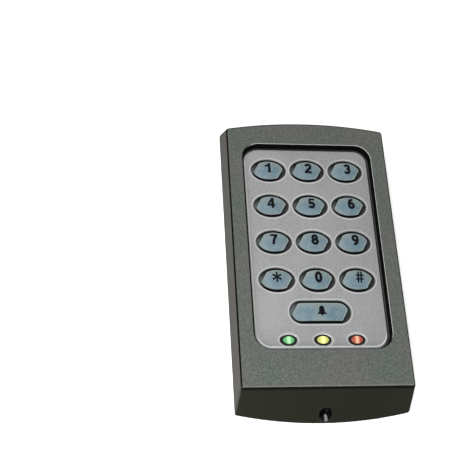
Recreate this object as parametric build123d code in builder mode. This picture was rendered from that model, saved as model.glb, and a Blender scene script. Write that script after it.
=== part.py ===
from build123d import *
import math
import os

os.makedirs("parts", exist_ok=True)

# Alarm keypad panel, lying on its back: Z up out of the front, Y towards the top edge, X to the right.
# The origin is the centre of the back face. All sizes are in millimetres.

# ---- cover, outside ----
panel_length = 143.0  # over the two bowed ends, at the back edge
panel_width = 76.0  # at the back edge
panel_depth = 16.2
rim_height = 1.2  # upright rim all round the back edge
side_draft = 0.9  # each side leans in by this at the front
top_lean = 5.5  # the top end leans in by this at the front
top_bow = 3.4  # rise of the bowed top edge
chin_run = 11.5  # the sloped lower end, from the crease to the back edge at the middle
chin_bow = 4.1  # rise of the bowed lower edge at the back
top_corner_radius = 1.5
chin_corner_radius = 0.9
front_edge_radius = 0.7
cover_wall = 2.2
front_wall = 2.0
cover_wall_gap = 0.4  # the cover's rim stops short of the mounting wall

# ---- window and fascia ----
window_width = 60.0
window_length = 98.6
window_radius = 7.5
window_draft = 0.3
window_edge_radius = 0.35
window_top_margin = 11.0  # from the bowed top edge of the front, at the middle
window_wall = 1.6
recess = 3.4  # front of the cover to the face of the fascia
seal_thickness = 0.5
seal_gap = 0.05  # seal to the raised face of the fascia
fascia_thickness = 2.0
fascia_step = 1.0  # the fascia's face stands above its hidden border by this
fascia_gap = 0.95  # all round, from the window's front edge to the fascia's raised face
fascia_bevel = 0.55
fascia_overlap = 2.0  # reach of the fascia behind the cover, each side
peg_radius = 1.0
peg_edge = 1.7  # peg axis to the window's side
peg_span = 70.0

# ---- keys ----
columns = 3
rows = 4
column_pitch = 18.0
row_pitch = 18.0
first_row = 12.15  # window's top edge to the middle of the first row
bell_drop = 14.9  # last row to the bell key
key_hole_width = 15.9
key_hole_length = 11.2
bell_hole_width = 26.9
bell_hole_length = 10.3
hole_bevel = 0.25
key_gap = 0.85
key_rise = 0.4  # crown of the key above the fascia
key_crown_radius = 45.0
bell_crown_radius = 140.0
key_round = 0.6
key_end_angle = 30.0  # the two slanted end cuts lean from Y by this
key_end_cut = 1.4  # each end cut crosses the key's middle line this far inside the hole
key_corner_radius = 1.0
key_travel = 1.2
flange_reach = 0.65
flange_thickness = 0.8
rest_gap = 0.05  # flange to the back of the fascia
plunger_radius = 2.0
plunger_length = 0.4
dome_gap = 0.1  # plunger to dome with the key fully down

# ---- indicator lights ----
light_count = 3
light_margin = 2.5  # edge of the light holes to the window's lower edge
light_pitch = 14.9
light_hole_width = 7.6
light_hole_length = 4.9
light_bevel = 0.15
ring_gap = 0.1  # black collar to the edge of its hole
lens_width = 5.2
lens_length = 3.4
lens_gap = 0.05
lens_rise = 0.3
lens_flange = 0.7
lens_flange_thickness = 0.8
lens_round = 0.5
holder_thickness = 1.1
holder_length = 8.6
holder_margin = 6.0

# ---- base ----
base_plate = 2.0
base_gap = 0.3  # base to the inside of the cover
tray_wall = 1.5
wall_hole_radius = 2.2
wall_hole_span_x = 54.0
wall_hole_edge = 10.5  # wall-screw holes in from each end of the panel
cable_hole_radius = 6.0
cable_hole_x = 20.0
cable_hole_drop = 9.0  # below the window's lower edge
post_radius = 2.6
rest_size = 4.0  # plain rest under the tongue of the board

# ---- board ----
board_thickness = 1.6
board_gap = 0.5  # board to tray
tongue_length = 12.5  # board reaching below the window into the chin
tongue_right = 9.0
board_screw_radius = 1.0
board_screw_head = 1.8
board_screw_head_height = 1.3
board_screw_length = 3.8
board_screw_slot_width = 0.4
board_screw_slot_depth = 0.7
board_hole_gap = 0.15
post_edge = 3.5  # post axis to the board's sides
pad_radius = 2.5
pad_thickness = 0.05
mat_thickness = 0.6
mat_reach_x = 8.6  # mat beyond the middle of the outer keys
mat_reach_y = 6.0
dome_radius = 4.5
dome_top_radius = 2.8
dome_wall = 0.6
pill_radius = 1.6
pill_thickness = 0.4
pill_gap = 1.0  # carbon pill to its pad
glow_offset = 6.4  # backlight from the middle of each key
glow_width = 1.6
glow_length = 0.8
glow_height = 0.6
glow_hole_radius = 1.3

# ---- parts on the board ----
lamp_width = 3.2
lamp_length = 2.8
lamp_height = 1.8
lamp_bevel = 0.3
chip_size = 9.0
chip_height = 1.2
chip_bevel = 0.2
sounder_radius = 4.75
sounder_height = 6.0
sounder_round = 0.5
sounder_hole_radius = 1.0
sounder_hole_depth = 3.0
terminal_ways = 6
terminal_pitch = 3.5
terminal_depth = 7.0
terminal_height = 6.6
terminal_edge = 0.6
terminal_screw_radius = 1.2
terminal_screw_gap = 0.1
terminal_screw_height = 2.0
terminal_slot_width = 0.4
terminal_slot_depth = 0.6
wire_hole = 2.2
wire_hole_depth = 3.5

# ---- cover fixing ----
screw_height = 4.7  # back face to the screw's axis
screw_radius = 1.5
screw_gap = 0.2
screw_thread_gap = 0.05
screw_head_radius = 2.4
screw_head_height = 2.4
screw_head_round = 0.4
counterbore_radius = 2.9
screw_seat = 7.5  # panel's lower end to the seat of the screw head
seat_wall = 2.3
boss_margin = 2.0
socket_width = 2.5
socket_depth = 1.5
insert_radius = 2.1
insert_gap = 0.03
insert_length = 4.5
lug_gap = 0.3
lug_half_width = 5.0
lug_height = 8.0
hook_x = 9.0
hook_width = 7.0
hook_height = 4.9  # top of the cover's ledge
hook_thickness = 1.5
ledge_reach = 1.1  # how far the bowed end lets the ledge start beyond the end's corners
hook_bite = 0.9
hook_gap = 0.1
hook_side_gap = 0.3

# ---- places worked out from the sizes above ----
half_length = panel_length / 2
back_top_corner = half_length - top_bow
back_chin_corner = chin_bow - half_length
crease_y = chin_run - half_length
front_top_corner = back_top_corner - top_lean
window_top = front_top_corner + top_bow - window_top_margin
window_bottom = window_top - window_length
window_y = (window_top + window_bottom) / 2
fascia_face = panel_depth - recess
fascia_back = fascia_face - fascia_thickness
fascia_border = fascia_face - fascia_step
cover_skirt = fascia_border + seal_thickness
fascia_width = window_width + 2 * fascia_overlap
fascia_radius = window_radius + fascia_overlap
row_y = [window_top - first_row - row_pitch * row for row in range(rows)]
column_x = [column_pitch * (column - (columns - 1) / 2) for column in range(columns)]
bell_y = row_y[-1] - bell_drop
light_y = window_bottom + light_margin + light_hole_length / 2
light_x = [light_pitch * (light - (light_count - 1) / 2) for light in range(light_count)]
key_names = [["1", "2", "3"], ["4", "5", "6"], ["7", "8", "9"], ["star", "0", "hash"]]
key_places = [(x, y) for y in row_y for x in column_x] + [(0.0, bell_y)]
board_width = fascia_width - 2 * (tray_wall + board_gap)
board_top = window_top + fascia_overlap - tray_wall - board_gap
tongue_end = window_bottom - tongue_length
flange_top = fascia_back - rest_gap
flange_base = flange_top - flange_thickness
plunger_end = flange_base - plunger_length
dome_top = plunger_end - key_travel - dome_gap
mat_back = dome_top - dome_wall - pill_thickness - pill_gap
board_face = mat_back - pad_thickness
board_height = board_face - board_thickness
post_places = [
    (side * (board_width / 2 - post_edge), y)
    for side in (-1, 1)
    for y in (board_top - post_edge, light_y)
]
peg_places = [
    (side * (window_width / 2 - peg_edge), window_y + end * peg_span / 2)
    for side in (-1, 1)
    for end in (-1, 1)
]
wall_hole_places = [
    (side * wall_hole_span_x / 2, end * (half_length - wall_hole_edge))
    for side in (-1, 1)
    for end in (-1, 1)
]
cable_hole_place = (cable_hole_x, window_bottom - cable_hole_drop)
holder_back = fascia_back - holder_thickness
seat_y = screw_seat - half_length
boss_face = seat_y + seat_wall
boss_half_width = counterbore_radius + boss_margin
boss_top = screw_height + counterbore_radius + boss_margin
lug_face = boss_face + lug_gap


def between(back, front, height):
    """A value that runs straight from the top of the rim to the front of the cover."""
    share = max(0.0, (height - rim_height) / (panel_depth - rim_height))
    return back + (front - back) * share


def shell_half_width(height, inset=0.0):
    return between(panel_width / 2, panel_width / 2 - side_draft, height) - inset


def shell_top(height, inset=0.0):
    """The top end's corner at a height, moved in by a wall measured square to the leaning face."""
    slant = math.hypot(1.0, top_lean / (panel_depth - rim_height))
    return between(back_top_corner, front_top_corner, height) - inset * slant


def shell_chin(height, inset=0.0):
    """The lower end's corner at a height, moved in by a wall measured square to the sloped face."""
    slant = math.hypot(1.0, (chin_run - chin_bow) / (panel_depth - rim_height))
    return between(back_chin_corner, crease_y, height) + inset * slant


def shell_plan(height, inset=0.0):
    """The cover's outline at a height: straight sides, a bowed top and a lower end that
    is bowed at the back and straight at the crease."""
    half = shell_half_width(height, inset)
    top = shell_top(height, inset)
    chin = shell_chin(height, inset)
    bow = between(chin_bow, 0.0, height)
    with BuildSketch(Plane.XY.offset(height)) as plan:
        with BuildLine():
            Line((half, chin), (half, top))
            ThreePointArc((half, top), (0, top + top_bow), (-half, top))
            Line((-half, top), (-half, chin))
            if bow > 0:
                ThreePointArc((-half, chin), (0, chin - bow), (half, chin))
            else:
                Line((-half, chin), (half, chin))
        make_face()
    return plan.sketch


def window_plan(height, margin=0.0):
    """The window's outline, grown by a margin."""
    with BuildSketch(Plane.XY.offset(height)) as plan:
        with Locations((0, window_y)):
            RectangleRounded(window_width + 2 * margin, window_length + 2 * margin, window_radius + margin)
    return plan.sketch


def key_plan(height, place, growth=0.0):
    """One key's outline, grown from its hole: ovals for the digits, a long slot for the bell key."""
    with BuildSketch(Plane.XY.offset(height)) as plan:
        with Locations(place):
            if place[1] == bell_y:
                SlotOverall(bell_hole_width + 2 * growth, bell_hole_length + 2 * growth)
            else:
                Ellipse(key_hole_width / 2 + growth, key_hole_length / 2 + growth)
    return plan.sketch


def cap_plan(height, place):
    """A key cap's outline: its hole less the gap, with both ends trimmed by parallel slanted cuts."""
    hole_width = bell_hole_width if place[1] == bell_y else key_hole_width
    between_cuts = (hole_width - 2 * key_end_cut) * math.cos(math.radians(key_end_angle))
    with BuildSketch(Plane.XY.offset(height)) as plan:
        with Locations(place):
            if place[1] == bell_y:
                SlotOverall(bell_hole_width - 2 * key_gap, bell_hole_length - 2 * key_gap)
            else:
                Ellipse(key_hole_width / 2 - key_gap, key_hole_length / 2 - key_gap)
            Rectangle(between_cuts, bell_hole_width, rotation=-key_end_angle, mode=Mode.INTERSECT)
    return plan.sketch


def light_plan(height, x, growth=0.0):
    """The oval hole of one indicator, grown by a margin."""
    with BuildSketch(Plane.XY.offset(height)) as plan:
        with Locations((x, light_y)):
            Ellipse(light_hole_width / 2 + growth, light_hole_length / 2 + growth)
    return plan.sketch


def lens_plan(height, x, growth=0.0):
    """The oval lens of one indicator, grown by a margin."""
    with BuildSketch(Plane.XY.offset(height)) as plan:
        with Locations((x, light_y)):
            Ellipse(lens_width / 2 + growth, lens_length / 2 + growth)
    return plan.sketch


def end_plane(y):
    """A plane across the panel that faces its lower end, with its own x along X and y along Z."""
    return Plane.XZ.offset(-y)


def save(node, label):
    """Label a finished piece and write its file."""
    node.part.label = label
    export_step(node.part, f"parts/{label}.step")


ledge_y = shell_top(hook_height, cover_wall) + ledge_reach


# ---- cover: one moulded shell, with a wall round the window, a screw boss and two ledges ----
with BuildPart() as hollow:
    extrude(shell_plan(0.0, cover_wall), amount=rim_height)
    loft(
        [shell_plan(rim_height, cover_wall), shell_plan(panel_depth - front_wall, cover_wall)],
        ruled=True,
    )
    extrude(window_plan(cover_skirt, window_wall), amount=panel_depth, mode=Mode.SUBTRACT)
    with BuildSketch(Plane.XY):
        with Locations((0, boss_face)):
            Rectangle(2 * boss_half_width, half_length, align=(Align.CENTER, Align.MAX))
    extrude(amount=boss_top, mode=Mode.SUBTRACT)
    with BuildSketch(Plane.XY.offset(hook_height)):
        with Locations((-hook_x, ledge_y), (hook_x, ledge_y)):
            Rectangle(hook_width, half_length, align=(Align.CENTER, Align.MIN))
    extrude(amount=-hook_thickness, mode=Mode.SUBTRACT)

with BuildPart() as cover:
    extrude(shell_plan(cover_wall_gap), amount=rim_height - cover_wall_gap)
    loft([shell_plan(rim_height), shell_plan(panel_depth)], ruled=True)
    for end, radius in ((1, top_corner_radius), (-1, chin_corner_radius)):
        upright = cover.edges().filter_by(lambda edge: edge.bounding_box().size.Z > cover_wall_gap)
        fillet([edge for edge in upright if edge.center().Y * end > 0], radius)
    fillet(cover.faces().sort_by(Axis.Z)[-1].edges(), front_edge_radius)
    add(hollow.part, mode=Mode.SUBTRACT)
    loft([window_plan(cover_skirt, -window_draft), window_plan(panel_depth)], mode=Mode.SUBTRACT)
    fillet(cover.faces().sort_by(Axis.Z)[-1].inner_wires()[0].edges(), window_edge_radius)
    with BuildSketch(end_plane(seat_y)):
        with Locations((0, screw_height)):
            Circle(counterbore_radius)
    extrude(amount=half_length, mode=Mode.SUBTRACT)
    with BuildSketch(end_plane(lug_face)):
        with Locations((0, screw_height)):
            Circle(screw_radius + screw_gap)
    extrude(amount=lug_face - seat_y, mode=Mode.SUBTRACT)
save(cover, "cover")

# ---- cover screw: round head with a six-sided socket ----
with BuildPart() as cover_screw:
    with BuildSketch(end_plane(seat_y)):
        with Locations((0, screw_height)):
            Circle(screw_head_radius)
    extrude(amount=screw_head_height)
    fillet(cover_screw.edges().sort_by(Axis.Y)[0], screw_head_round)
    with BuildSketch(end_plane(lug_face + insert_length)):
        with Locations((0, screw_height)):
            Circle(screw_radius)
    extrude(amount=lug_face + insert_length - seat_y)
    with BuildSketch(end_plane(seat_y - screw_head_height)):
        with Locations((0, screw_height)):
            RegularPolygon(socket_width / 2, 6, major_radius=False)
    extrude(amount=-socket_depth, mode=Mode.SUBTRACT)
save(cover_screw, "cover_screw")

# ---- threaded insert in the base's lug ----
with BuildPart() as screw_insert:
    with BuildSketch(end_plane(lug_face)):
        with Locations((0, screw_height)):
            Circle(insert_radius)
            Circle(screw_radius + screw_thread_gap, mode=Mode.SUBTRACT)
    extrude(amount=-insert_length)
save(screw_insert, "screw_insert")

# ---- base: back plate, tray wall under the fascia, board posts, screw lug and hooks ----
with BuildPart() as base:
    extrude(shell_plan(base_plate, cover_wall + base_gap), amount=-base_plate)
    extrude(window_plan(0.0, fascia_overlap), amount=fascia_back)
    extrude(window_plan(base_plate, fascia_overlap - tray_wall), amount=panel_depth, mode=Mode.SUBTRACT)
    # the board's tongue passes over the lower wall of the tray
    tongue_left = -board_width / 2 - board_gap
    tongue_span = tongue_right + board_gap - tongue_left
    with BuildSketch(Plane.XY.offset(board_height - rest_gap)):
        with Locations((tongue_left, window_bottom - fascia_overlap + fascia_radius)):
            Rectangle(tongue_span, tongue_length + fascia_radius, align=(Align.MIN, Align.MAX))
    extrude(amount=panel_depth, mode=Mode.SUBTRACT)
    with BuildSketch(Plane.XY):
        with Locations(*post_places):
            Circle(post_radius)
        with Locations((tongue_left / 2, (tongue_end + window_bottom - fascia_overlap) / 2)):
            Rectangle(rest_size, rest_size)
    extrude(amount=board_height)
    with BuildSketch(Plane.XY.offset(board_height)):
        with Locations(*post_places):
            Circle(board_screw_radius + rest_gap)
    extrude(amount=-board_screw_length + board_thickness - board_hole_gap, mode=Mode.SUBTRACT)
    with BuildSketch(Plane.XY):
        with Locations((0, lug_face)):
            Rectangle(2 * lug_half_width, insert_length, align=(Align.CENTER, Align.MIN))
    extrude(amount=lug_height)
    with BuildSketch(end_plane(lug_face)):
        with Locations((0, screw_height)):
            Circle(insert_radius + insert_gap)
    extrude(amount=-insert_length, mode=Mode.SUBTRACT)
    with BuildSketch(Plane.XY):
        with Locations((0, lug_face)):
            Rectangle(2 * (boss_half_width + lug_gap), half_length, align=(Align.CENTER, Align.MAX))
    extrude(amount=panel_depth, mode=Mode.SUBTRACT)
    with BuildSketch(Plane.XY):
        with Locations(*[(side * hook_x, ledge_y - hook_side_gap) for side in (-1, 1)]):
            Rectangle(hook_width, hook_thickness, align=(Align.CENTER, Align.MAX))
    extrude(amount=hook_height + hook_gap + hook_thickness)
    with BuildSketch(Plane.XY.offset(hook_height + hook_gap)):
        with Locations(*[(side * hook_x, ledge_y + hook_bite) for side in (-1, 1)]):
            Rectangle(hook_width, hook_thickness + hook_bite, align=(Align.CENTER, Align.MAX))
    extrude(amount=hook_thickness)
    with BuildSketch(Plane.XY):
        with Locations(*wall_hole_places):
            Circle(wall_hole_radius)
        with Locations(cable_hole_place):
            Circle(cable_hole_radius)
    extrude(amount=base_plate, mode=Mode.SUBTRACT)
save(base, "base")

# ---- fascia: a raised face with bevelled key and light holes, a lower border under the cover,
# and four pegs that locate it in the board ----
with BuildPart() as fascia:
    extrude(window_plan(fascia_back, fascia_overlap), amount=fascia_border - fascia_back)
    extrude(window_plan(fascia_border, -fascia_gap), amount=fascia_step)
    chamfer(fascia.faces().sort_by(Axis.Z)[-1].edges(), fascia_bevel)
    for place in key_places:
        extrude(key_plan(fascia_back, place), amount=fascia_thickness, mode=Mode.SUBTRACT)
    key_rims = fascia.faces().sort_by(Axis.Z)[-1].inner_wires().edges()
    chamfer(key_rims, hole_bevel)
    for x in light_x:
        extrude(light_plan(fascia_back, x), amount=fascia_thickness, mode=Mode.SUBTRACT)
    light_rims = [
        edge
        for edge in fascia.faces().sort_by(Axis.Z)[-1].inner_wires().edges()
        if abs(edge.center().Y - light_y) < light_hole_length
    ]
    chamfer(light_rims, light_bevel)
    with BuildSketch(Plane.XY.offset(fascia_back)):
        with Locations(*peg_places):
            Circle(peg_radius)
    extrude(amount=board_height - fascia_back)
save(fascia, "fascia")

# ---- seal under the window's wall, round the raised face of the fascia ----
with BuildPart() as fascia_seal:
    extrude(window_plan(fascia_border, window_wall), amount=seal_thickness)
    extrude(window_plan(fascia_border, seal_gap - fascia_gap), amount=seal_thickness, mode=Mode.SUBTRACT)
save(fascia_seal, "fascia_seal")

# ---- keys: a crowned cap with slanted ends, a flange behind the fascia, a plunger over the dome ----
for place, name in zip(key_places, [name for row in key_names for name in row] + ["bell"]):
    crown_radius = bell_crown_radius if name == "bell" else key_crown_radius
    with BuildPart() as key:
        extrude(cap_plan(flange_base, place), amount=panel_depth - flange_base)
        fillet(key.edges().filter_by(Axis.Z), key_corner_radius)
        with Locations((*place, fascia_face + key_rise - crown_radius)):
            Sphere(crown_radius, mode=Mode.INTERSECT)
        fillet(key.faces().sort_by(Axis.Z)[-1].edges(), key_round)
        extrude(key_plan(flange_base, place, flange_reach), amount=flange_thickness)
        with BuildSketch(Plane.XY.offset(flange_base)):
            with Locations(place):
                Circle(plunger_radius)
        extrude(amount=-plunger_length)
    save(key, f"key_{name}")

# ---- indicator lights: one black holder with a collar round each lens ----
with BuildPart() as lens_holder:
    with BuildSketch(Plane.XY.offset(holder_back)):
        with Locations((0, light_y)):
            Rectangle(light_x[-1] - light_x[0] + 2 * holder_margin, holder_length)
    extrude(amount=holder_thickness)
    for x in light_x:
        extrude(light_plan(holder_back, x, -ring_gap), amount=fascia_face - holder_back)
        extrude(lens_plan(holder_back, x, lens_gap), amount=panel_depth, mode=Mode.SUBTRACT)
save(lens_holder, "lens_holder")

for x, colour in zip(light_x, ("green", "yellow", "red")):
    lens_base = holder_back - lens_flange_thickness
    with BuildPart() as lens:
        extrude(lens_plan(lens_base, x), amount=fascia_face + lens_rise - lens_base)
        fillet(lens.faces().sort_by(Axis.Z)[-1].edges(), lens_round)
        extrude(lens_plan(lens_base, x, lens_flange), amount=lens_flange_thickness)
    save(lens, f"lens_{colour}")
    with BuildPart() as lamp:
        with BuildSketch(Plane.XY.offset(board_face)):
            with Locations((x, light_y)):
                Rectangle(lamp_width, lamp_length)
        extrude(amount=lamp_height)
        chamfer(lamp.faces().sort_by(Axis.Z)[-1].edges(), lamp_bevel)
    save(lamp, f"status_led_{colour}")

# ---- circuit board: plate inside the tray, with a tongue that reaches into the chin ----
with BuildPart() as circuit_board:
    extrude(window_plan(board_height, fascia_overlap - tray_wall - board_gap), amount=board_thickness)
    with BuildSketch(Plane.XY.offset(board_height)):
        with Locations((-board_width / 2, tongue_end)):
            Rectangle(
                board_width / 2 + tongue_right,
                tongue_length + window_radius,
                align=(Align.MIN, Align.MIN),
            )
    extrude(amount=board_thickness)
    with BuildSketch(Plane.XY.offset(board_height)):
        with Locations(*post_places):
            Circle(board_screw_radius + board_hole_gap)
        with Locations(*peg_places):
            Circle(peg_radius + board_hole_gap)
    extrude(amount=board_thickness, mode=Mode.SUBTRACT)
save(circuit_board, "circuit_board")

# ---- four screws that hold the board on its posts ----
with BuildPart() as board_screws:
    with BuildSketch(Plane.XY.offset(board_face)):
        with Locations(*post_places):
            Circle(board_screw_head)
    extrude(amount=board_screw_head_height)
    with BuildSketch(Plane.XY.offset(board_face)):
        with Locations(*post_places):
            Circle(board_screw_radius)
    extrude(amount=-board_screw_length)
    with BuildSketch(Plane.XY.offset(board_face + board_screw_head_height)):
        with Locations(*post_places):
            Rectangle(2 * board_screw_radius, board_screw_slot_width)
            Rectangle(board_screw_slot_width, 2 * board_screw_radius)
    extrude(amount=-board_screw_slot_depth, mode=Mode.SUBTRACT)
save(board_screws, "board_screws")

# ---- switch layers under each key: pad on the board, rubber dome, carbon pill inside the dome ----
with BuildPart() as contact_pads:
    with BuildSketch(Plane.XY.offset(board_face)):
        with Locations(*key_places):
            Circle(pad_radius)
    extrude(amount=pad_thickness)
save(contact_pads, "contact_pads")

glow_places = [(x + glow_offset, y) for x, y in key_places]
with BuildPart() as key_mat:
    with BuildSketch(Plane.XY.offset(mat_back)):
        with Locations((0, (row_y[0] + bell_y) / 2)):
            Rectangle(2 * (column_x[-1] + mat_reach_x), row_y[0] - bell_y + 2 * mat_reach_y)
    extrude(amount=mat_thickness)
    foot = (Align.CENTER, Align.CENTER, Align.MIN)
    dome_height = dome_top - mat_back
    with Locations(*[(x, y, mat_back) for x, y in key_places]):
        Cone(dome_radius, dome_top_radius, dome_height, align=foot)
        Cone(
            dome_radius - dome_wall,
            dome_top_radius - dome_wall,
            dome_height - dome_wall,
            align=foot,
            mode=Mode.SUBTRACT,
        )
    with BuildSketch(Plane.XY.offset(mat_back)):
        with Locations(*glow_places):
            Circle(glow_hole_radius)
    extrude(amount=mat_thickness, mode=Mode.SUBTRACT)
save(key_mat, "key_mat")

with BuildPart() as contact_pills:
    with BuildSketch(Plane.XY.offset(dome_top - dome_wall)):
        with Locations(*key_places):
            Circle(pill_radius)
    extrude(amount=-pill_thickness)
save(contact_pills, "contact_pills")

with BuildPart() as backlight_leds:
    with BuildSketch(Plane.XY.offset(board_face)):
        with Locations(*glow_places):
            Rectangle(glow_width, glow_length)
    extrude(amount=glow_height)
save(backlight_leds, "backlight_leds")

# ---- controller under the board ----
with BuildPart() as controller_chip:
    with BuildSketch(Plane.XY.offset(board_height)):
        with Locations((0, window_y)):
            Rectangle(chip_size, chip_size)
    extrude(amount=-chip_height)
    chamfer(controller_chip.faces().sort_by(Axis.Z)[0].edges(), chip_bevel)
save(controller_chip, "controller_chip")

# ---- sounder on the board's tongue ----
tongue_middle = tongue_end + sounder_radius + terminal_edge
with BuildPart() as sounder:
    with BuildSketch(Plane.XY.offset(board_face)):
        with Locations((tongue_right - sounder_radius - terminal_edge, tongue_middle)):
            Circle(sounder_radius)
    extrude(amount=sounder_height)
    fillet(sounder.faces().sort_by(Axis.Z)[-1].edges(), sounder_round)
    with BuildSketch(Plane.XY.offset(board_face + sounder_height)):
        with Locations((tongue_right - sounder_radius - terminal_edge, tongue_middle)):
            Circle(sounder_hole_radius)
    extrude(amount=-sounder_hole_depth, mode=Mode.SUBTRACT)
save(sounder, "sounder")

# ---- terminal block at the board's lower edge, with its screws ----
terminal_left = -board_width / 2 + terminal_edge
terminal_places = [
    (terminal_left + terminal_pitch * (way + 0.5), tongue_end + terminal_edge + terminal_depth / 2)
    for way in range(terminal_ways)
]
with BuildPart() as terminal_block:
    with BuildSketch(Plane.XY.offset(board_face)):
        with Locations((terminal_left, tongue_end + terminal_edge)):
            Rectangle(terminal_ways * terminal_pitch, terminal_depth, align=(Align.MIN, Align.MIN))
    extrude(amount=terminal_height)
    with BuildSketch(Plane.XY.offset(board_face + terminal_height)):
        with Locations(*terminal_places):
            Circle(terminal_screw_radius + terminal_screw_gap)
    extrude(amount=-terminal_screw_height, mode=Mode.SUBTRACT)
    with BuildSketch(end_plane(tongue_end + terminal_edge)):
        with Locations(*[(x, board_face + wire_hole) for x, y in terminal_places]):
            Rectangle(wire_hole, wire_hole)
    extrude(amount=-wire_hole_depth, mode=Mode.SUBTRACT)
save(terminal_block, "terminal_block")

with BuildPart() as terminal_screws:
    with BuildSketch(Plane.XY.offset(board_face + terminal_height - terminal_screw_height)):
        with Locations(*terminal_places):
            Circle(terminal_screw_radius)
    extrude(amount=terminal_screw_height - terminal_screw_gap)
    with BuildSketch(Plane.XY.offset(board_face + terminal_height - terminal_screw_gap)):
        with Locations(*terminal_places):
            Rectangle(2 * terminal_screw_radius, terminal_slot_width)
    extrude(amount=-terminal_slot_depth, mode=Mode.SUBTRACT)
save(terminal_screws, "terminal_screws")
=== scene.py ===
import math

import bmesh
import bpy
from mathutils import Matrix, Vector
from mathutils.bvhtree import BVHTree
from mathutils.geometry import delaunay_2d_cdt


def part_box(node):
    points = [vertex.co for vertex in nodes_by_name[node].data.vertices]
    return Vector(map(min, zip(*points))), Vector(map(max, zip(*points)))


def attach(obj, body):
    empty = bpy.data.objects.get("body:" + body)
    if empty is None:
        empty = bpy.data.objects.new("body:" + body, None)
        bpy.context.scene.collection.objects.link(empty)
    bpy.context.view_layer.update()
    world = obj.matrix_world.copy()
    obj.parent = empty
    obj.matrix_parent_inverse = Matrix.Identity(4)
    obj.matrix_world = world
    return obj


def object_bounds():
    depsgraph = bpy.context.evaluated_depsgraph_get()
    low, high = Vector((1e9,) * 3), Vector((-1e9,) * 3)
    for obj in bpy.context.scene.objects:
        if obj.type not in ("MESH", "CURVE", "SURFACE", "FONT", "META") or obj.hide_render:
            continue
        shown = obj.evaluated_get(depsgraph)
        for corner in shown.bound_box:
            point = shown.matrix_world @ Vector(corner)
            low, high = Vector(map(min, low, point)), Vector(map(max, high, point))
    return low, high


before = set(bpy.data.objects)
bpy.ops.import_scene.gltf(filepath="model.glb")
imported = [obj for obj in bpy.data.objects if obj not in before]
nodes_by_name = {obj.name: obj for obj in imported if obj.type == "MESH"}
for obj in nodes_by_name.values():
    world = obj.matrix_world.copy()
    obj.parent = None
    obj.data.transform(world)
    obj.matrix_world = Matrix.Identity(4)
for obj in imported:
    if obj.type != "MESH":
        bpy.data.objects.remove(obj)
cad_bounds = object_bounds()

MM = 0.001
KEY_NAMES = ["1", "2", "3", "4", "5", "6", "7", "8", "9", "star", "0", "hash", "bell"]
# each lamp's colour round its lens, and in the middle where the light shows through
LAMP_COLOURS = {
    "green": ((0.075, 0.36, 0.12), (0.72, 0.86, 0.54)),
    "yellow": ((0.62, 0.62, 0.17), (0.88, 0.88, 0.34)),
    "red": ((0.42, 0.085, 0.05), (0.90, 0.82, 0.56)),
}
CHIN_RUN = 11.5 * MM  # the panel's lower end to the crease
FASCIA_OVERLAP = 2.0 * MM  # the fascia's reach behind the window's edge, each side
WINDOW_RIM = 0.4 * MM  # the rounded rim of the window, and a little over
WINDOW_RADIUS = 7.5 * MM
SCREW_HOLE_RADIUS = 3.0 * MM
SKIRT = 0.9 * MM  # the dark line along the back of the panel's left side
FLOOR_SIZE = 4.0

low, high = (Vector(corner) for corner in cad_bounds)
panel_middle = (low + high) / 2
crease_y = low.y + CHIN_RUN
fascia_low, fascia_high = (Vector(corner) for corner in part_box("fascia"))
fascia_face = fascia_high.z
screw_low, screw_high = (Vector(corner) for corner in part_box("cover_screw"))
screw_middle = (screw_low + screw_high) / 2
key_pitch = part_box("key_3")[0].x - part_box("key_2")[0].x
light_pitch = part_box("lens_red")[0].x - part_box("lens_yellow")[0].x


# ---------------------------------------------------------------- stage: floor, lights, camera
def make_camera():
    """The viewing angle of a keypad lying on a table, seen from above its lower left corner."""
    camera = bpy.data.objects.new("camera", bpy.data.cameras.new("camera"))
    camera.data.lens = 78.0
    camera.data.sensor_width = 36.0
    camera.location = (-0.0996, -0.1684, 0.3998)
    camera.rotation_euler = (math.radians(25.50), math.radians(-7.47), math.radians(-2.90))
    bpy.context.scene.collection.objects.link(camera)
    bpy.context.scene.camera = camera


def make_softbox(name, direction, distance, size, watts):
    """A square white area light that faces the panel from a direction."""
    lamp = bpy.data.lights.new(name, "AREA")
    lamp.shape = "SQUARE"
    lamp.size = size
    lamp.energy = watts
    light = bpy.data.objects.new(name, lamp)
    way = Vector(direction).normalized()
    light.location = panel_middle + way * distance
    light.rotation_euler = way.to_track_quat("Z", "Y").to_euler()
    bpy.context.scene.collection.objects.link(light)


def make_floor():
    bpy.ops.mesh.primitive_plane_add(size=FLOOR_SIZE, location=(panel_middle.x, panel_middle.y, low.z))
    floor = bpy.context.object
    floor.name = "floor"
    floor.data.materials.append(floor_material())


def make_world():
    world = bpy.data.worlds.new("studio")
    world.use_nodes = True
    world.node_tree.nodes["Background"].inputs["Color"].default_value = (0.9, 0.95, 1.0, 1.0)
    world.node_tree.nodes["Background"].inputs["Strength"].default_value = 0.12
    bpy.context.scene.world = world
    bpy.context.scene.view_settings.view_transform = "Standard"


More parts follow.
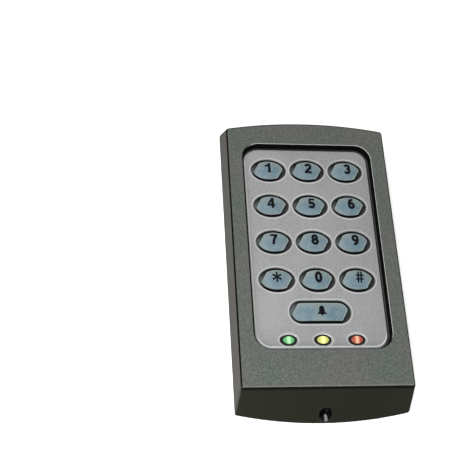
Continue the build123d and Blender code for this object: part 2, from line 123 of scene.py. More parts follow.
# ---------------------------------------------------------------- material building blocks
class Shader:
    """One Principled material with short calls for the nodes this scene uses."""

    # a Mix node repeats its socket names for each kind of data; these are the colour ones
    FIRST_COLOUR, SECOND_COLOUR, MIXED_COLOUR = 6, 7, 2

    def __init__(self, name, **sockets):
        self.material = bpy.data.materials.new(name)
        self.material.use_nodes = True
        self.tree = self.material.node_tree
        self.surface = self.tree.nodes["Principled BSDF"]
        for socket, value in sockets.items():
            self.surface.inputs[socket.replace("_", " ")].default_value = value
        self.place = self.node("ShaderNodeTexCoord").outputs["Object"]

    def node(self, kind, **settings):
        node = self.tree.nodes.new(kind)
        for name, value in settings.items():
            setattr(node, name, value)
        return node

    def link(self, output, target):
        self.tree.links.new(output, target)

    def feed(self, output, socket):
        self.link(output, self.surface.inputs[socket])

    def noise(self, scale, detail=2.0, rough=0.5, stretch=None):
        """Noise in object space; scale counts features per metre."""
        noise = self.node("ShaderNodeTexNoise")
        noise.inputs["Scale"].default_value = scale
        noise.inputs["Detail"].default_value = detail
        noise.inputs["Roughness"].default_value = rough
        place = self.place
        if stretch:
            mapping = self.node("ShaderNodeMapping")
            mapping.inputs["Scale"].default_value = stretch
            self.link(place, mapping.inputs["Vector"])
            place = mapping.outputs["Vector"]
        self.link(place, noise.inputs["Vector"])
        return noise.outputs["Fac"]

    def spread(self, value, from_low, from_high, to_low=0.0, to_high=1.0):
        """Map one range of a value onto another, clamped, with soft ends."""
        spread = self.node("ShaderNodeMapRange", interpolation_type="SMOOTHSTEP")
        self.link(value, spread.inputs["Value"])
        ends = {"From Min": from_low, "From Max": from_high, "To Min": to_low, "To Max": to_high}
        for socket, number in ends.items():
            spread.inputs[socket].default_value = number
        return spread.outputs["Result"]

    def fade(self, value, start, end):
        """One up to the start, falling to nothing at the end."""
        return self.spread(value, start, end, 1.0, 0.0)

    def band(self, value, start, end, soft=0.2):
        """One between two numbers and nothing outside them; soft is the share that fades at each end."""
        fade = soft * (end - start)
        rise = self.spread(value, start, start + fade)
        fall = self.fade(value, end - fade, end)
        return self.times(rise, fall)

    def inside(self, box_low, box_high):
        """One where the place is between two corners, seen from the front, and nothing elsewhere."""
        mask = 1.0
        for name in ("x", "y"):
            middle = (getattr(box_low, name) + getattr(box_high, name)) / 2
            half = (getattr(box_high, name) - getattr(box_low, name)) / 2
            away = self.math("SUBTRACT", self.axis(self.place, name.upper()), middle)
            away = self.math("ABSOLUTE", away)
            mask = self.times(self.math("LESS_THAN", away, half), mask)
        return mask

    def math(self, operation, first, second=0.0):
        step = self.node("ShaderNodeMath", operation=operation)
        for socket, value in zip(step.inputs, (first, second)):
            if isinstance(value, (int, float)):
                socket.default_value = value
            else:
                self.link(value, socket)
        return step.outputs["Value"]

    def times(self, *values):
        """The product of two or more values."""
        product = values[0]
        for value in values[1:]:
            product = self.math("MULTIPLY", product, value)
        return product

    def squared(self, value):
        return self.times(value, value)

    def mix(self, factor, first, second):
        """Blend two colours, each a plain colour or another node's output."""
        mix = self.node("ShaderNodeMix", data_type="RGBA")
        self.link(factor, mix.inputs["Factor"])
        for socket, colour in ((self.FIRST_COLOUR, first), (self.SECOND_COLOUR, second)):
            if isinstance(colour, tuple):
                mix.inputs[socket].default_value = (*colour, 1.0)
            else:
                self.link(colour, mix.inputs[socket])
        return mix.outputs[self.MIXED_COLOUR]

    def axis(self, vector, name):
        split = self.node("ShaderNodeSeparateXYZ")
        self.link(vector, split.inputs["Vector"])
        return split.outputs[name]

    def normals(self):
        """The three parts of the surface's normal."""
        normal = self.node("ShaderNodeNewGeometry").outputs["Normal"]
        return [self.axis(normal, name) for name in "XYZ"]

    def bump(self, height, strength, distance):
        bump = self.node("ShaderNodeBump")
        bump.inputs["Strength"].default_value = strength
        bump.inputs["Distance"].default_value = distance
        self.link(height, bump.inputs["Height"])
        self.feed(bump.outputs["Normal"], "Normal")


# ---------------------------------------------------------------- materials
# nx, ny and nz are the parts of a surface's normal to the right, up the panel and out of the wall, so
# bare limits on them pick out the faces and the parts of fillets that have turned that far.
# depths of the bumps that stand for grain, flakes and tool marks
GRAIN_DEPTH = 0.05 * MM
FINE_DEPTH = 0.03 * MM
MARK_DEPTH = 0.02 * MM

# cover: colours, then where its painted highlight and shade lines start and end
COVER_GREEN, COVER_BROWN = (0.055, 0.066, 0.057), (0.069, 0.067, 0.060)
COVER_GRAIN = (0.108, 0.116, 0.107)
COVER_LOWER_END_SHADE = (0.0095, 0.0105, 0.0065)
COVER_SIDE_SHADE = (0.053, 0.050, 0.045)
COVER_SKIRT = (0.028, 0.027, 0.024)
CREASE_HIGHLIGHT = (0.13, 0.125, 0.115)
EDGE_DARK_REFLECTION, EDGE_HIGHLIGHT = (0.0015, 0.0015, 0.001), (0.30, 0.31, 0.29)
WINDOW_SHADE, WINDOW_RIM_HIGHLIGHT = (0.0015, 0.0015, 0.0015), (0.30, 0.31, 0.295)
SCREW_HOLE_SHADE = (0.001, 0.001, 0.001)
# the crease's painted highlight line and painted dark reflection line, measured up the panel from it
CREASE_HIGHLIGHT_LINE = (0.1 * MM, 0.6 * MM)
CREASE_DARK_REFLECTION_LINE = (-0.95 * MM, 0.15 * MM)
LEFT_SHADE_LINE = (-0.5 * MM, 0.1 * MM)  # inwards from the window's outline
# the painted shade line along the window's left edge fades out round the corners between these two places
LEFT_SHADE_LINE_FULL = fascia_low.x + 3.0 * MM
LEFT_SHADE_LINE_GONE = fascia_low.x + 6.0 * MM

# fascia: colours, then its holes and its painted highlight and shade lines
PAINT_DARK, PAINT_LIGHT = (0.146, 0.148, 0.143), (0.172, 0.170, 0.174)
PAINT_FLAKE = (0.26, 0.26, 0.265)
BEVEL_HIGHLIGHT, BEVEL_SHADE = (0.72, 0.73, 0.72), (0.02, 0.02, 0.02)
LOWER_EDGE_HIGHLIGHT = (0.50, 0.51, 0.50)
RIM_HIGHLIGHT, RIM_SHADE_GREY = (0.37, 0.37, 0.37), (0.13, 0.132, 0.128)
HOLE_SHADE, WALL_SHADE = (0.04, 0.041, 0.04), (0.03, 0.031, 0.03)
# holes in the fascia: half width, half length and half of the straight part, in millimetres
KEY_HOLE = (7.95, 5.6, 0.0)
BELL_HOLE = (5.15, 5.15, 8.3)
LAMP_HOLE = (3.8, 2.45, 0.0)
ROWS_ABOVE_8 = 2  # rows of keys above the one with the 8; one row lies below it
HOLE_INSIDE = -1.0 * MM  # far enough inside a hole's outline to take in its walls
HOLE_LIP = 0.05 * MM
RIM_START = 0.4 * MM  # the painted highlight round a hole starts and ends this far outside it
RIM_END = 1.0 * MM
LOWER_HIGHLIGHT_LINE = (1.5 * MM, 2.25 * MM)  # inwards from the window's outline
# the painted highlight along the fascia's lower edge fades out between these heights up the panel
LOWER_HIGHLIGHT_LINE_FULL = fascia_low.y + 5.0 * MM
LOWER_HIGHLIGHT_LINE_GONE = fascia_low.y + 11.0 * MM

# keys: colours, then the blue patch and the painted shade on the flange
KEY_BLUE, KEY_GREEN = (0.070, 0.124, 0.160), (0.120, 0.158, 0.158)
KEY_CLOUD, KEY_SPECKLE = (0.165, 0.205, 0.213), (0.19, 0.225, 0.235)
KEY_RIGHT_HIGHLIGHT, KEY_UPPER_HIGHLIGHT = (0.30, 0.34, 0.34), (0.24, 0.29, 0.30)
KEY_LEFT_SIDE_SHADE, KEY_SIDE_SHADE = (0.11, 0.128, 0.13), (0.004, 0.0045, 0.004)
LEFT_SIDE_END = 0.55  # the paler painted shade on the left side ends this share of the half width from the middle
BLUE_PATCH_DROP = 1.0 * MM  # the blue patch sits this far below the key's middle
BLUE_PATCH_REACH_X = 6.8 * MM  # from the patch's middle to where it has nearly gone
BLUE_PATCH_REACH_Y = 4.4 * MM
BELL_BLUE_PATCHES = 6.5 * MM  # the two blue patches of the bell key, each side of its middle
FLANGE_SHADE_DEPTH = (-0.8 * MM, -0.4 * MM)  # painted shade below the fascia's face, none above

# lenses: the lamp's glow fades from the core to the body, and the tint darkens from there to the rim
LENS_CORE = 0.35 * MM
LENS_BODY = 1.7 * MM
LENS_RIM = 3.1 * MM
LENS_STREAK = 0.5 * MM  # how much fine streaks shift these places


def grey(level):
    return (level, level, level)


def floor_material():
    shader = Shader("floor_paper", Roughness=0.9, Specular_IOR_Level=0.1, Emission_Strength=0.25)
    shader.feed(shader.mix(shader.noise(30), grey(0.90), grey(0.94)), "Base Color")
    return shader.material


def cover_material():
    """Dark grey-green moulded plastic with a spark-eroded grain, with painted shade on its sloped end and
    side walls, black painted shade inside the window and the screw hole, and painted highlights and painted
    dark reflections as pale and dark lines where its fillets turn over."""
    shader = Shader("cover_plastic", Specular_IOR_Level=0.05, Coat_Roughness=0.1)
    nx, ny, nz = shader.normals()
    x, y, z = (shader.axis(shader.place, name) for name in "XYZ")
    patches = shader.spread(shader.noise(60, detail=3.0), 0.35, 0.65)
    base = shader.mix(patches, COVER_GREEN, COVER_BROWN)
    grain = shader.noise(1500, detail=3.0, rough=0.7)
    colour = shader.mix(shader.spread(grain, 0.38, 0.72), base, COVER_GRAIN)
    # painted shade: the sloped lower end is given a much darker colour than the front
    colour = shader.mix(shader.fade(ny, -0.7, -0.5), colour, COVER_LOWER_END_SHADE)
    # painted shade: the side walls are given a darker, browner colour than the front
    colour = shader.mix(shader.spread(shader.math("ABSOLUTE", nx), 0.9, 0.98), colour, COVER_SIDE_SHADE)
    skirt = shader.times(shader.fade(nx, -0.95, -0.9), shader.fade(z, SKIRT, 2 * SKIRT))
    colour = shader.mix(skirt, colour, COVER_SKIRT)
    # noise that breaks up the painted highlights along the crease and the right edge
    highlight_breakup = shader.spread(shader.noise(350, detail=3.0), 0.3, 0.6, 0.6, 1.0)

    # the crease: a painted highlight where the front ends, a painted dark reflection where it turns down
    past = shader.math("SUBTRACT", y, crease_y)
    pale = shader.times(shader.band(past, *CREASE_HIGHLIGHT_LINE), shader.spread(nz, 0.8, 0.9))
    colour = shader.mix(shader.times(pale, highlight_breakup), colour, CREASE_HIGHLIGHT)
    dark = shader.times(shader.band(past, *CREASE_DARK_REFLECTION_LINE), shader.spread(nz, 0.3, 0.4))
    # the outer edges: painted dark reflections along the left and the far end, and along the right a painted
    # dark reflection beside a painted highlight
    left_edge = shader.times(shader.fade(nx, -0.05, -0.01), shader.spread(nz, 0.06, 0.09))
    far_edge = shader.times(shader.spread(ny, 0.05, 0.15), shader.spread(nz, 0.36, 0.42))
    far_edge = shader.times(far_edge, shader.fade(ny, 0.75, 0.85))
    off_ends = shader.fade(shader.math("ABSOLUTE", ny), 0.3, 0.5)
    for edge in (left_edge, shader.band(nx, 0.05, 0.55)):
        dark = shader.math("MAXIMUM", dark, shader.times(edge, off_ends))
    colour = shader.mix(shader.math("MAXIMUM", dark, far_edge), colour, EDGE_DARK_REFLECTION)
    # painted highlight along the right edge
    right_highlight = shader.times(shader.band(nx, 0.5, 0.98), highlight_breakup, off_ends)
    colour = shader.mix(right_highlight, colour, EDGE_HIGHLIGHT)

    # the window: black painted shade on its walls, a rim with a painted highlight where it faces the lower
    # left and black painted shade elsewhere, and a black painted shade line along the left edge
    inset = FASCIA_OVERLAP - WINDOW_RIM
    margin = Vector((inset, inset, 0))
    window = shader.inside(fascia_low + margin, fascia_high - margin)
    colour = shader.mix(shader.times(window, shader.fade(nz, 0.985, 0.999)), colour, WINDOW_SHADE)
    facing = shader.math("ADD", shader.times(nx, 0.7), ny)
    rim = shader.times(window, shader.band(nz, 0.45, 1.0, 0.1), shader.fade(facing, -0.3, -0.05))
    colour = shader.mix(rim, colour, WINDOW_RIM_HIGHLIGHT)
    left_shade_line = shader.band(window_depth(shader), *LEFT_SHADE_LINE, 0.1)
    left_shade_line = shader.times(left_shade_line, shader.fade(x, LEFT_SHADE_LINE_FULL, LEFT_SHADE_LINE_GONE))
    colour = shader.mix(left_shade_line, colour, WINDOW_SHADE)

    # the screw hole: a wall coloured black as painted shade, glossy from its tool
    drop = shader.math("SUBTRACT", z, screw_middle.z)
    from_axis = shader.math("ADD", shader.squared(x), shader.squared(drop))
    bore = shader.math("LESS_THAN", from_axis, SCREW_HOLE_RADIUS**2)
    bore = shader.times(bore, shader.math("LESS_THAN", y, screw_middle.y))
    colour = shader.mix(bore, colour, SCREW_HOLE_SHADE)
    shader.feed(bore, "Coat Weight")
    shader.feed(colour, "Base Color")
    shader.feed(shader.spread(grain, 0.3, 0.7, 0.6, 0.75), "Roughness")
    rough = shader.times(grain, shader.math("SUBTRACT", 1.0, bore))
    shader.bump(rough, 0.5, GRAIN_DEPTH)
    return shader.material


def plastic_material(name, dark, light, rough, bump=0.2, shine=0.5):
    """Moulded plastic with a faint mottle and grain."""
    shader = Shader(name, Specular_IOR_Level=shine)
    fine = shader.noise(2500)
    mottle = shader.spread(shader.math("ADD", fine, shader.noise(60)), 0.7, 1.3)
    shader.feed(shader.mix(mottle, dark, light), "Base Color")
    shader.feed(shader.spread(fine, 0.3, 0.7, rough - 0.08, rough + 0.08), "Roughness")
    shader.bump(fine, bump, FINE_DEPTH)
    return shader.material


def fascia_material():
    """Silver-grey paint with fine metal flakes, with painted highlights on the bevels that face the lower
    left, along its lower edge and round its holes, painted shade on the bevels that face up and right, a
    grey painted-shade rim inside the highlight at the keys and dark painted shade on the walls of all the
    holes."""
    shader = Shader("fascia_silver", Metallic=0.2)
    nx, ny, nz = shader.normals()
    flake = shader.noise(2600, detail=4.0, rough=0.75)
    colour = shader.mix(shader.spread(shader.noise(55), 0.35, 0.65), PAINT_DARK, PAINT_LIGHT)
    colour = shader.mix(shader.spread(flake, 0.4, 0.7), colour, PAINT_FLAKE)
    # painted highlight on bevels that face the lower left, painted shade on those that face up and right
    facing = shader.math("ADD", nx, ny)
    bevel_light_and_shade = shader.mix(shader.spread(facing, -0.5, 0.4), BEVEL_HIGHLIGHT, BEVEL_SHADE)
    colour = shader.mix(shader.band(nz, 0.3, 0.98), colour, bevel_light_and_shade)

    height = shader.axis(shader.place, "Y")
    # painted highlight along the fascia's lower edge
    edge = shader.band(window_depth(shader), *LOWER_HIGHLIGHT_LINE)
    edge = shader.times(edge, shader.fade(height, LOWER_HIGHLIGHT_LINE_FULL, LOWER_HIGHLIGHT_LINE_GONE))
    colour = shader.mix(edge, colour, LOWER_EDGE_HIGHLIGHT)
    away, away_key = hole_distances(shader)
    # painted highlight round every hole, broken up by noise
    shine = shader.spread(shader.math("ADD", shader.noise(120), shader.noise(40)), 0.8, 1.2, 0.6, 1.0)
    rim = shader.times(shader.band(away, RIM_START, RIM_END, 0.3), shine)
    colour = shader.mix(rim, colour, RIM_HIGHLIGHT)
    # painted shade: a grey rim at the edge of each key's hole
    colour = shader.mix(shader.band(away_key, HOLE_INSIDE, RIM_START, 0.1), colour, RIM_SHADE_GREY)
    # painted shade: dark inside every hole's outline and on all steep walls
    colour = shader.mix(shader.band(away, HOLE_INSIDE, HOLE_LIP, 0.1), colour, HOLE_SHADE)
    colour = shader.mix(shader.fade(nz, 0.1, 0.3), colour, WALL_SHADE)
    shader.feed(colour, "Base Color")
    shader.feed(shader.spread(flake, 0.3, 0.7, 0.38, 0.54), "Roughness")
    shader.bump(flake, 0.3, FINE_DEPTH)
    return shader.material


def window_depth(shader):
    """How far a place lies inside the window's rounded outline."""
    middle = (fascia_low + fascia_high) / 2
    inset = FASCIA_OVERLAP + WINDOW_RADIUS
    corners = []
    for name in ("x", "y"):
        half = (getattr(fascia_high, name) - getattr(fascia_low, name)) / 2 - inset
        away = shader.math("SUBTRACT", shader.axis(shader.place, name.upper()), getattr(middle, name))
        corners.append(shader.math("SUBTRACT", shader.math("ABSOLUTE", away), half))
    past = [shader.math("MAXIMUM", corner, 0.0) for corner in corners]
    round_part = shader.math("SQRT", shader.math("ADD", shader.squared(past[0]), shader.squared(past[1])))
    straight_part = shader.math("MINIMUM", shader.math("MAXIMUM", corners[0], corners[1]), 0.0)
    return shader.math("SUBTRACT", WINDOW_RADIUS, shader.math("ADD", round_part, straight_part))


def hole_distances(shader):
    """How far a place on the fascia lies outside the nearest hole, and outside the nearest key's hole."""
    x, y = (shader.axis(shader.place, name) for name in "XY")
    lamp = hole_rim(shader, x, y, LAMP_HOLE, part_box("lens_yellow"), light_pitch)
    bell = hole_rim(shader, x, y, BELL_HOLE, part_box("key_bell"))
    keys = hole_rim(shader, x, y, KEY_HOLE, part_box("key_8"), key_pitch, key_pitch)
    key = shader.math("MINIMUM", keys, bell)
    return shader.math("MINIMUM", key, lamp), key


def hole_rim(shader, x, y, size, box, pitch_x=0.0, pitch_y=0.0):
    """Distance outside an oval or slotted hole round the middle of a box, repeated at a pitch."""
    middle = (Vector(box[0]) + Vector(box[1])) / 2
    half_width, half_length, straight = (part * MM for part in size)
    across = shader.math("SUBTRACT", x, middle.x)
    along = shader.math("SUBTRACT", y, middle.y)
    if pitch_x:
        across = wrapped(shader, across, pitch_x, 1)
    if pitch_y:
        along = wrapped(shader, along, pitch_y, ROWS_ABOVE_8)
    across = shader.math("MAXIMUM", shader.math("SUBTRACT", shader.math("ABSOLUTE", across), straight), 0.0)
    far = shader.math("SQRT", shader.math("ADD", shader.squared(across), shader.squared(along)))
    across = shader.times(across, 1 / half_width)
    along = shader.times(along, 1 / half_length)
    reach = shader.math("SQRT", shader.math("ADD", shader.squared(across), shader.squared(along)))
    return shader.times(far, shader.math("SUBTRACT", 1.0, shader.math("DIVIDE", 1.0, reach)))


def wrapped(shader, value, pitch, last):
    """A value less its nearest whole number of pitches; that number runs from -1 to the last one."""
    count = shader.math("ROUND", shader.times(value, 1 / pitch))
    count = shader.math("MINIMUM", shader.math("MAXIMUM", count, -1.0), float(last))
    return shader.math("SUBTRACT", value, shader.times(count, pitch))


def key_material(name, middle, half_width):
    """Translucent pale blue-grey rubber: bluer in a patch below its middle, greener towards its rim, with
    painted shade on its sides and flange, less dark at its left end, and painted highlights along its right
    end and upper edge."""
    shader = Shader(name, Subsurface_Weight=0.2, Subsurface_Scale=0.0005, Specular_IOR_Level=0.3)
    nx, ny, nz = shader.normals()
    x, y, z = (shader.axis(shader.place, name) for name in "XYZ")
    across = shader.math("SUBTRACT", x, middle.x)
    if name.endswith("bell"):
        across = shader.math("SUBTRACT", shader.math("ABSOLUTE", across), BELL_BLUE_PATCHES)
    along = shader.math("SUBTRACT", y, middle.y - BLUE_PATCH_DROP)
    across = shader.times(across, 1 / BLUE_PATCH_REACH_X)
    along = shader.times(along, 1 / BLUE_PATCH_REACH_Y)
    reach = shader.math("ADD", shader.squared(across), shader.squared(along))
    colour = shader.mix(shader.spread(reach, 0.0, 1.1), KEY_BLUE, KEY_GREEN)
    cloud = shader.spread(shader.noise(300, detail=3.0, rough=0.6), 0.35, 0.65)
    colour = shader.mix(shader.times(cloud, 0.4), colour, KEY_CLOUD)
    speckle = shader.spread(shader.noise(2200), 0.45, 0.7, 0.0, 0.25)
    colour = shader.mix(speckle, colour, KEY_SPECKLE)
    # painted highlights along the right end and the upper edge
    colour = shader.mix(shader.band(nx, 0.12, 0.42), colour, KEY_RIGHT_HIGHLIGHT)
    colour = shader.mix(shader.band(ny, 0.12, 0.5), colour, KEY_UPPER_HIGHLIGHT)

    # painted shade on the sides and the flange, less dark towards the left end
    sides = shader.fade(nz, 0.6, 0.92)
    flange = shader.fade(shader.math("SUBTRACT", z, fascia_face), *FLANGE_SHADE_DEPTH)
    left_end = middle.x - LEFT_SIDE_END * half_width
    shade = shader.mix(shader.spread(x, middle.x - half_width, left_end), KEY_LEFT_SIDE_SHADE, KEY_SIDE_SHADE)
    colour = shader.mix(shader.math("MAXIMUM", sides, flange), colour, shade)
    shader.feed(colour, "Base Color")
    shader.feed(shader.spread(shader.noise(2600), 0.3, 0.7, 0.4, 0.52), "Roughness")
    shader.bump(shader.noise(1800), 0.08, FINE_DEPTH)
    return shader.material


def lens_material(name, edge, centre, middle):
    """Tinted clear plastic, bright where the lamp shows through its middle."""
    shader = Shader(name, Roughness=0.12, Specular_IOR_Level=0.3, Emission_Strength=0.5)
    across = shader.math("SUBTRACT", shader.axis(shader.place, "X"), middle.x)
    streaks = shader.times(shader.noise(900), LENS_STREAK)
    across = shader.math("ADD", shader.math("ABSOLUTE", across), streaks)
    glow = shader.fade(across, LENS_CORE, LENS_BODY)
    rim_tint, unlit_tint = (tuple(share * channel for channel in edge) for share in (0.5, 0.4))
    body = shader.mix(shader.spread(across, LENS_BODY, LENS_RIM), edge, rim_tint)
    shader.feed(shader.mix(glow, unlit_tint, edge), "Base Color")
    shader.feed(shader.mix(glow, body, centre), "Emission Color")
    shader.bump(shader.noise(1500), 0.05, FINE_DEPTH)
    return shader.material


def metal_material(name, colour, scratch=(1.0, 1.0, 1.0), rough=0.28):
    """Plated metal with fine tool marks."""
    shader = Shader(name, Metallic=1.0)
    marks = shader.noise(2200, detail=4.0, stretch=scratch)
    darker = tuple(0.7 * channel for channel in colour)
    shader.feed(shader.mix(shader.spread(marks, 0.3, 0.7), darker, colour), "Base Color")
    shader.feed(shader.spread(marks, 0.3, 0.7, rough - 0.1, rough + 0.12), "Roughness")
    shader.bump(marks, 0.15, MARK_DEPTH)
    return shader.material


def board_material():
    """Green solder mask over copper tracks that run in short right-angled lengths."""
    shader = Shader("board_green", Roughness=0.3, Coat_Weight=0.5)
    brick = shader.node("ShaderNodeTexBrick")
    brick.inputs["Scale"].default_value = 160.0
    brick.inputs["Mortar Size"].default_value = 0.03
    shader.link(shader.place, brick.inputs["Vector"])
    tracks = brick.outputs["Fac"]
    shader.feed(shader.mix(tracks, (0.008, 0.10, 0.03), (0.02, 0.20, 0.06)), "Base Color")
    shader.bump(tracks, 0.3, FINE_DEPTH)
    return shader.material


def ink_material():
    shader = Shader("legend_ink", Roughness=0.75, Specular_IOR_Level=0.05)
    shader.feed(shader.mix(shader.noise(4000), (0.001, 0.0015, 0.002), (0.005, 0.006, 0.008)), "Base Color")
    return shader.material


def dress(material, *names):
    """Give CAD nodes a material in all their slots."""
    for name in names:
        mesh = nodes_by_name[name].data
        mesh.materials.clear()
        mesh.materials.append(material)


def dress_nodes():
    dress(cover_material(), "cover")
    dress(plastic_material("base_plastic", grey(0.012), grey(0.03), rough=0.55), "base")
    dress(fascia_material(), "fascia")
    dress(plastic_material("seal_rubber", grey(0.006), grey(0.014), rough=0.7), "fascia_seal")
    dress(plastic_material("pill_carbon", grey(0.01), grey(0.025), rough=0.8), "contact_pills")
    black = plastic_material("black_plastic", grey(0.004), grey(0.012), rough=0.5, shine=0.1)
    dress(black, "lens_holder", "controller_chip", "sounder")
    pale_rubber = (0.42, 0.43, 0.42), (0.52, 0.53, 0.52)
    dress(plastic_material("mat_rubber", *pale_rubber, rough=0.55, bump=0.1), "key_mat")
    lamp_body = (0.68, 0.68, 0.62), (0.82, 0.82, 0.76)
    dress(plastic_material("lamp_body", *lamp_body, rough=0.3), "backlight_leds")
    terminal_green = (0.02, 0.20, 0.07), (0.04, 0.28, 0.10)
    dress(plastic_material("terminal_green", *terminal_green, rough=0.35), "terminal_block")
    dress(metal_material("screw_steel", grey(0.045), scratch=(1, 6, 1)), "cover_screw")
    dress(metal_material("zinc_screws", (0.60, 0.60, 0.58)), "board_screws", "terminal_screws")
    dress(metal_material("brass_insert", (0.70, 0.52, 0.22)), "screw_insert")
    dress(metal_material("contact_gold", (0.83, 0.62, 0.27), rough=0.2), "contact_pads")
    dress(board_material(), "circuit_board")
    for name in KEY_NAMES:
        node_low, node_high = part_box(f"key_{name}")
        middle = (node_low + node_high) / 2
        dress(key_material(f"key_rubber_{name}", middle, middle.x - node_low.x), f"key_{name}")
    for name, (edge, centre) in LAMP_COLOURS.items():
        node_low, node_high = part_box(f"lens_{name}")
        dress(lens_material(f"lens_{name}", edge, centre, (node_low + node_high) / 2), f"lens_{name}")
        lamp = plastic_material(f"lamp_{name}", (0.60, 0.60, 0.55), (0.80, 0.80, 0.74), rough=0.3)
        dress(lamp, f"status_led_{name}")


# ---------------------------------------------------------------- printed legends
LEGEND_SIZE = Vector((4.6 * MM, 5.0 * MM, 0))
LEGEND_SHIFT = Vector((0.6 * MM, 1.25 * MM, 0))  # from the middle of the key
LEGEND_SPREAD = 1.03  # the legends are printed a little wider apart than the keys
INK_LIFT = 0.02 * MM
INK_THICKNESS = 0.03 * MM
STROKE = 0.13  # half the width of a stroke; glyphs are drawn one unit high about their middle
GRID = 0.1  # spacing of the extra points that let a legend follow the key's crown
ARC_STEPS = 14
MERGE_DISTANCE = 1e-4  # outline points closer than this become one


def arc(middle, radii, start, end):
    """Points on an ellipse from one angle to another, in degrees."""
    points = []
    for step in range(ARC_STEPS + 1):
        angle = math.radians(start + (end - start) * step / ARC_STEPS)
        points.append((middle[0] + radii[0] * math.cos(angle), middle[1] + radii[1] * math.sin(angle)))
    return points


def stroke(points, half=STROKE):
    """The outline of a pen stroke of even width with square ends."""
    spots = [Vector(point) for point in points]
    left, right = [], []
    for spot, before, after in zip(spots, spots[:1] + spots, spots[1:] + spots[-1:]):
        way = (after - before).normalized()
        side = Vector((-way.y, way.x)) * half
        left.append(spot + side)
        right.append(spot - side)
    return left + right[::-1]


def ring(middle, radii):
    """A closed oval stroke, as two halves that overlap a little."""
    return [stroke(arc(middle, radii, -93, 93)), stroke(arc(middle, radii, 87, 273))]


def turned(outlines):
    """The same outlines turned half round."""
    return [[-Vector(point) for point in outline] for outline in outlines]


def six():
    return ring((0.01, -0.165), (0.225, 0.23)) + [stroke(arc((0.05, -0.03), (0.265, 0.425), 62, 187))]


def star():
    """Six bars from one middle, each a little wider at its tip."""
    root_half, tip_half, length = 0.07, 0.105, 0.5
    bars = []
    for arm in range(6):
        along = Vector((math.sin(math.radians(60 * arm)), math.cos(math.radians(60 * arm))))
        side = Vector((along.y, -along.x))
        tip = along * length
        bars.append([-side * root_half, side * root_half, tip + side * tip_half, tip - side * tip_half])
    return bars


def bell():
    """A round crown, straight sides that flare to a lip, and a clapper."""
    half = arc((0, 0.22), (0.27, 0.28), 90, 0) + [(0.30, -0.06), (0.36, -0.18), (0.52, -0.28), (0.52, -0.34)]
    half += arc((0, -0.33), (0.15, 0.15), 0, -90)
    return [half + [(-x, y) for x, y in half[-2:0:-1]]]


GLYPHS = {
    "0": ring((0, 0), (0.225, 0.395)),
    "1": [stroke([(0.08, -0.5), (0.08, 0.5)]), stroke([(0.10, 0.40), (-0.08, 0.26), (-0.34, 0.17)], 0.1)],
    "2": [
        stroke(arc((0, 0.17), (0.24, 0.225), 165, -30) + [(-0.02, -0.16), (-0.24, -0.37)]),
        stroke([(-0.36, -0.40), (0.36, -0.40)], 0.1),
    ],
    "3": [
        stroke(arc((-0.02, 0.2), (0.22, 0.195), 160, -100)),
        stroke(arc((-0.02, -0.19), (0.25, 0.205), 100, -160)),
    ],
    "4": [
        stroke([(0.14, -0.5), (0.14, 0.5)]),
        stroke([(0.10, 0.44), (-0.31, -0.17)], 0.09),
        stroke([(-0.39, -0.2), (0.37, -0.2)], 0.09),
    ],
    "5": [
        stroke([(-0.2, 0.4), (0.31, 0.4)], 0.1),
        stroke([(-0.14, 0.48), (-0.21, 0.0)], 0.095),
        stroke(arc((-0.01, -0.17), (0.255, 0.225), 145, -155)),
    ],
    "6": six(),
    "7": [
        stroke([(-0.35, 0.4), (0.35, 0.4)], 0.1),
        stroke([(0.27, 0.4), (0.09, 0.16), (-0.03, -0.14), (-0.08, -0.5)]),
    ],
    "8": ring((0, 0.205), (0.2, 0.19)) + ring((0, -0.185), (0.24, 0.21)),
    "9": turned(six()),
    "star": star(),
    "hash": [stroke([(x - 0.04, -0.5), (x + 0.04, 0.5)], 0.075) for x in (-0.13, 0.13)]
    + [stroke([(-0.37, y), (0.37, y)], 0.065) for y in (-0.17, 0.17)],
    "bell": bell(),
}
GLYPH_SIZES = {"0": 1.03, "hash": 1.06, "star": 0.95, "bell": 0.92}  # shares of the legend size
GLYPH_DROPS = {"bell": 0.8 * MM}  # down from the other legends' place on their keys


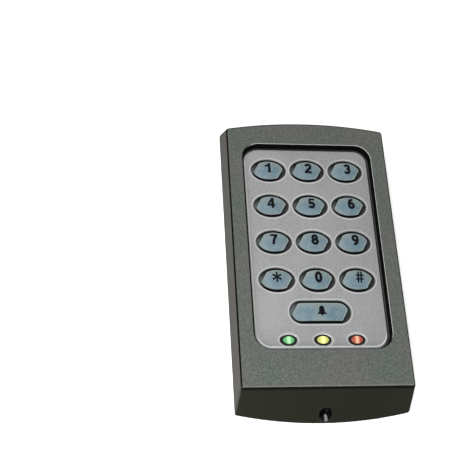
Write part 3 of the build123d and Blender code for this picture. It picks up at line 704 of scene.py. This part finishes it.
def legend_mesh(name, outlines, key, middle, size):
    """Overlapping outlines as one thin slab of ink that lies on the key's crown.

    The triangulation needs every outline to run anticlockwise.
    """
    points, faces = [], []
    for outline in outlines:
        spots = [Vector(point) for point in outline]
        if sum(a.cross(b) for a, b in zip(spots, spots[1:] + spots[:1])) < 0:
            spots.reverse()
        faces.append(list(range(len(points), len(points) + len(spots))))
        points += spots
    reach = int(1 / GRID)
    steps = range(-reach, reach)
    points += [Vector((GRID * column, GRID * row)) for column in steps for row in steps]
    spots, _, triangles, _, _, sources = delaunay_2d_cdt(points, [], faces, 0, MERGE_DISTANCE)
    surface = BVHTree.FromObject(key, bpy.context.evaluated_depsgraph_get())
    work = bmesh.new()
    verts = {}
    for triangle, source in zip(triangles, sources):
        if not source:
            continue
        for index in triangle:
            if index not in verts:
                spot = middle + Vector((spots[index].x * size.x, spots[index].y * size.y, 0))
                hit = surface.ray_cast(Vector((spot.x, spot.y, high.z)), Vector((0, 0, -1)))[0]
                verts[index] = work.verts.new((spot.x, spot.y, hit.z + INK_LIFT))
        work.faces.new([verts[index] for index in triangle])
    top = bmesh.ops.extrude_face_region(work, geom=work.faces[:])["geom"]
    for part in top:
        if isinstance(part, bmesh.types.BMVert):
            part.co.z += INK_THICKNESS
    bmesh.ops.recalc_face_normals(work, faces=work.faces[:])
    mesh = bpy.data.meshes.new(f"legend_{name}")
    work.to_mesh(mesh)
    work.free()
    return mesh


def make_legends():
    ink = ink_material()
    for name in KEY_NAMES:
        node_low, node_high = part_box(f"key_{name}")
        middle = (node_low + node_high) / 2 + LEGEND_SHIFT
        middle.x = LEGEND_SHIFT.x + LEGEND_SPREAD * (middle.x - LEGEND_SHIFT.x)
        middle.y -= GLYPH_DROPS.get(name, 0.0)
        size = LEGEND_SIZE * GLYPH_SIZES.get(name, 1.0)
        mesh = legend_mesh(name, GLYPHS[name], nodes_by_name[f"key_{name}"], middle, size)
        legend = bpy.data.objects.new(f"legend_{name}", mesh)
        mesh.materials.append(ink)
        bpy.context.scene.collection.objects.link(legend)
        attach(legend, f"key_{name}")


make_world()
make_camera()
make_floor()
make_softbox("key_light", direction=(-0.22, 0.28, 0.93), distance=1.2, size=0.9, watts=15)
make_softbox("front_light", direction=(-0.45, -0.70, 0.56), distance=0.42, size=0.3, watts=2.6)
make_softbox("side_light", direction=(0.9, 0.45, 0.4), distance=1.2, size=0.5, watts=1.0)
dress_nodes()
make_legends()
